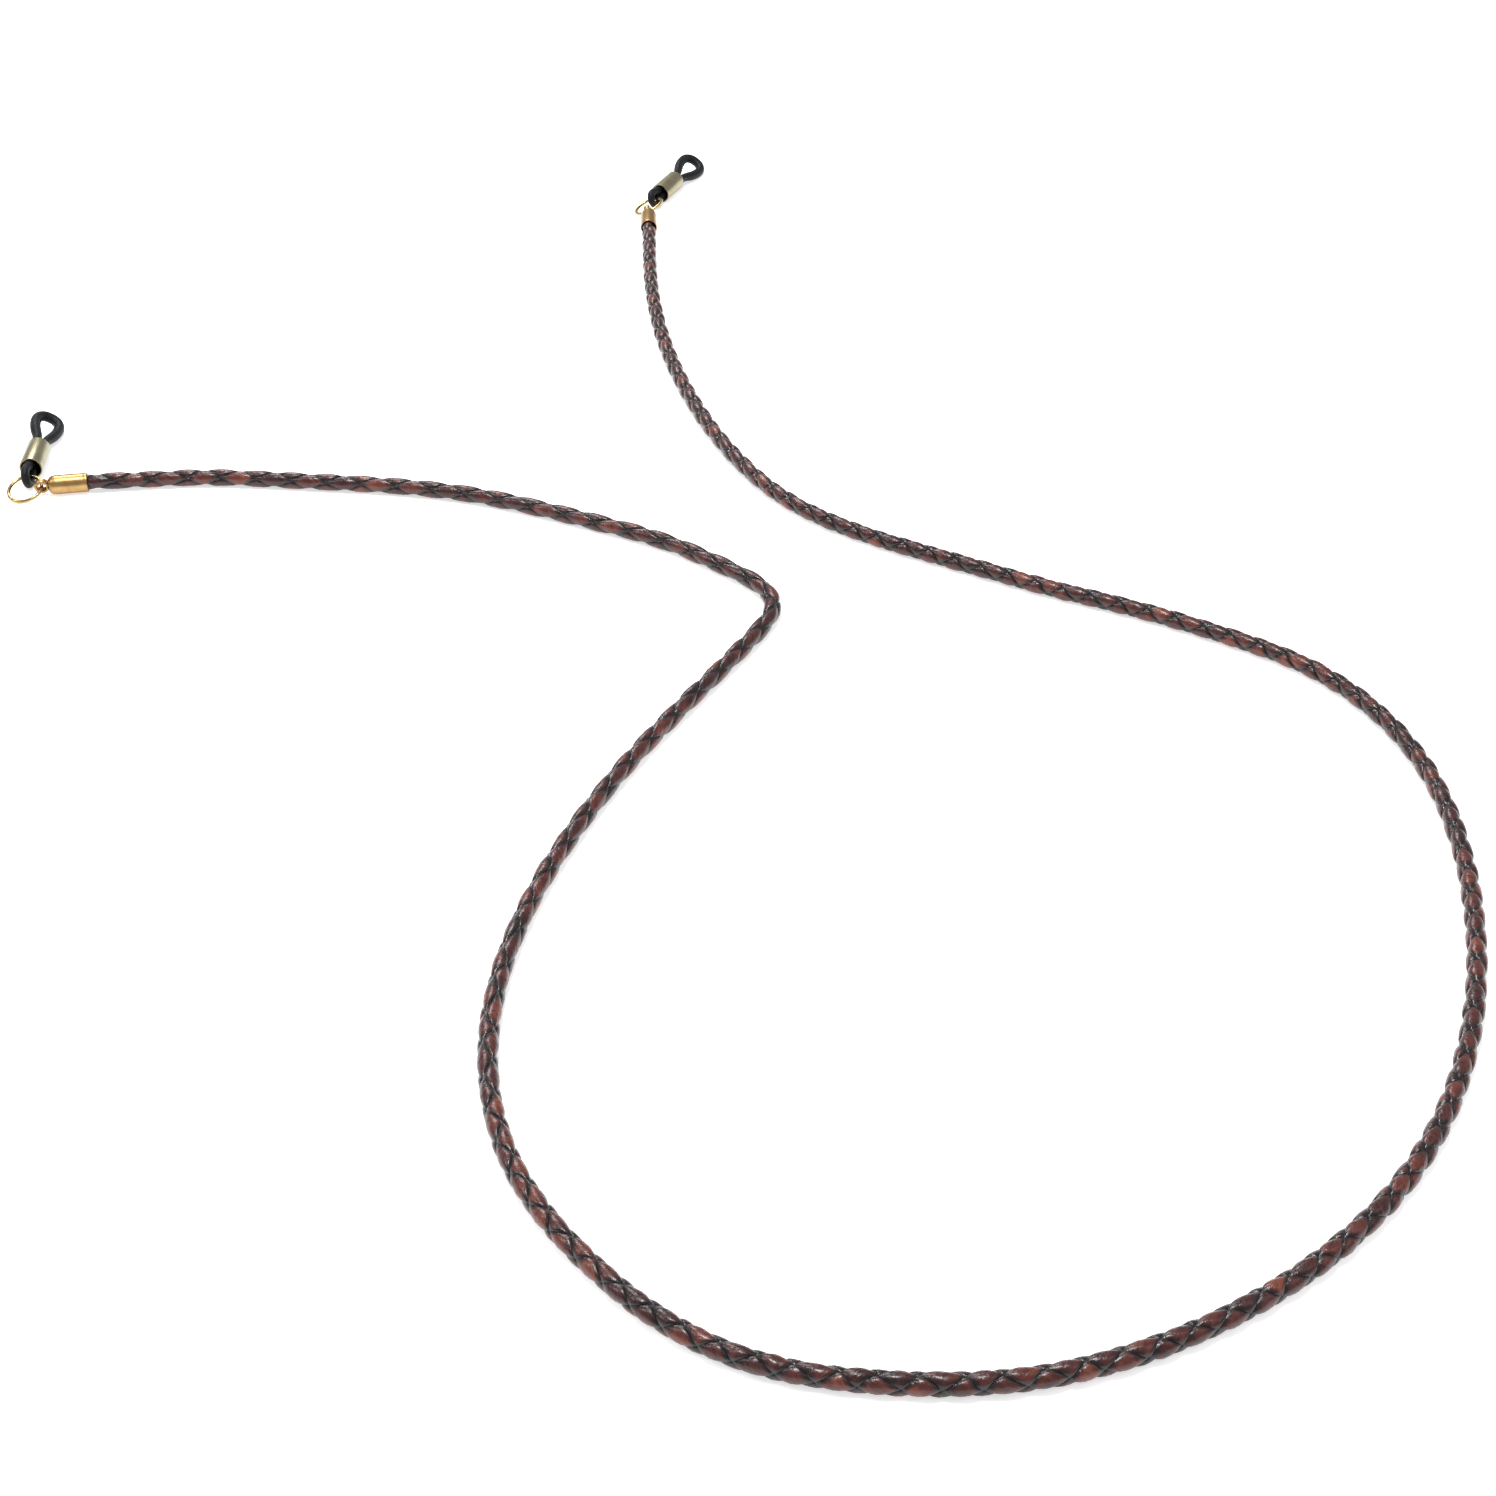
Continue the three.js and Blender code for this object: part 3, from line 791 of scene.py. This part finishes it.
def rubber():
    m = Nodes("black_rubber")
    b = m.bsdf
    dust = m.noise(900.0, 5.0, 0.65)
    fine = m.noise(6500.0, 3.0, 0.6)
    colour = m.ramp(dust, [(0.35, (0.0045, 0.0055, 0.0060)), (0.62, (0.0085, 0.010, 0.0108)), (0.80, (0.018, 0.020, 0.021))])
    m.link(colour, b.inputs["Base Color"])
    m.link(m.remap(dust, 0.3, 0.75, 0.42, 0.60), b.inputs["Roughness"])
    b.inputs["Specular IOR Level"].default_value = 0.16
    n1 = m.bump(fine, 0.30, 0.00004)
    n2 = m.bump(dust, 0.22, 0.00012, n1)
    m.link(n2, b.inputs["Normal"])
    return m.mat


def put_material(ob, mat):
    ob.data.materials.clear()
    ob.data.materials.append(mat)


put_material(cord, leather())
cap_mat = brass("gold_tone_cap", (0.315, 0.190, 0.074), (0.13, 0.075, 0.028), (0.42, 0.265, 0.108), 0.34, 0.07, 0.20)
ring_mat = brass("pale_gold_wire", (0.36, 0.25, 0.100), (0.17, 0.11, 0.040), (0.47, 0.345, 0.15), 0.22, 0.06, 0.12)
sleeve_mat = brass("satin_pale_brass", (0.255, 0.225, 0.140), (0.12, 0.105, 0.065), (0.33, 0.295, 0.19), 0.34, 0.06, 0.30)
rubber_mat = rubber()
for ob in caps:
    put_material(ob, cap_mat)
for ob in jumps:
    put_material(ob, ring_mat)
for ob in sleeves:
    put_material(ob, sleeve_mat)
for ob in loops:
    put_material(ob, rubber_mat)

# ------------------------------------------------------------------ floor, world and lights
floor_me = bpy.data.meshes.new("floor")
floor_me.from_pydata([(-6, -6, -0.00005), (6, -6, -0.00005), (6, 6, -0.00005), (-6, 6, -0.00005)], [], [(0, 1, 2, 3)])
floor = bpy.data.objects.new("floor", floor_me)
scene.collection.objects.link(floor)
fm = Nodes("pale_floor")
fm.bsdf.inputs["Base Color"].default_value = (0.93, 0.93, 0.935, 1)
fm.bsdf.inputs["Roughness"].default_value = 0.75
fm.bsdf.inputs["Specular IOR Level"].default_value = 0.2
fm.bsdf.inputs["Emission Color"].default_value = (1.0, 1.0, 1.0, 1)
fm.bsdf.inputs["Emission Strength"].default_value = 0.56
put_material(floor, fm.mat)

world = bpy.data.worlds.new("studio")
scene.world = world
world.use_nodes = True
world.node_tree.nodes["Background"].inputs["Color"].default_value = (0.96, 0.975, 1.0, 1)
world.node_tree.nodes["Background"].inputs["Strength"].default_value = 0.56


def area(name, where, at, size, power, colour=(1, 1, 1)):
    d = bpy.data.lights.new(name, "AREA")
    d.shape = "RECTANGLE"
    d.size, d.size_y = size
    d.energy = power
    d.color = colour
    ob = bpy.data.objects.new(name, d)
    ob.location = where
    ob.rotation_euler = (Vector(at) - Vector(where)).to_track_quat("-Z", "Y").to_euler()
    scene.collection.objects.link(ob)
    return ob


f_h = np.array([math.cos(math.radians(44.1845)), math.sin(math.radians(44.1845)), 0.0])   # away from the camera
r_h = np.array([f_h[1], -f_h[0], 0.0])                                                  # to the camera's right
aim = np.array([-0.03, -0.13, 0.0])


def spot_at(away, right, up):
    return tuple(aim + away * f_h + right * r_h + up * Z)


area("overhead", spot_at(-0.02, -0.10, 0.92), aim, (0.20, 0.15), 6.6)
area("softbox_back", spot_at(0.62, -0.25, 0.62), aim, (0.34, 0.24), 3.6)
area("softbox_left", spot_at(-0.05, -0.78, 0.75), aim, (0.20, 0.30), 2.2)
area("fill_right", spot_at(-0.2, 0.75, 0.9), aim, (0.5, 0.5), 1.0)
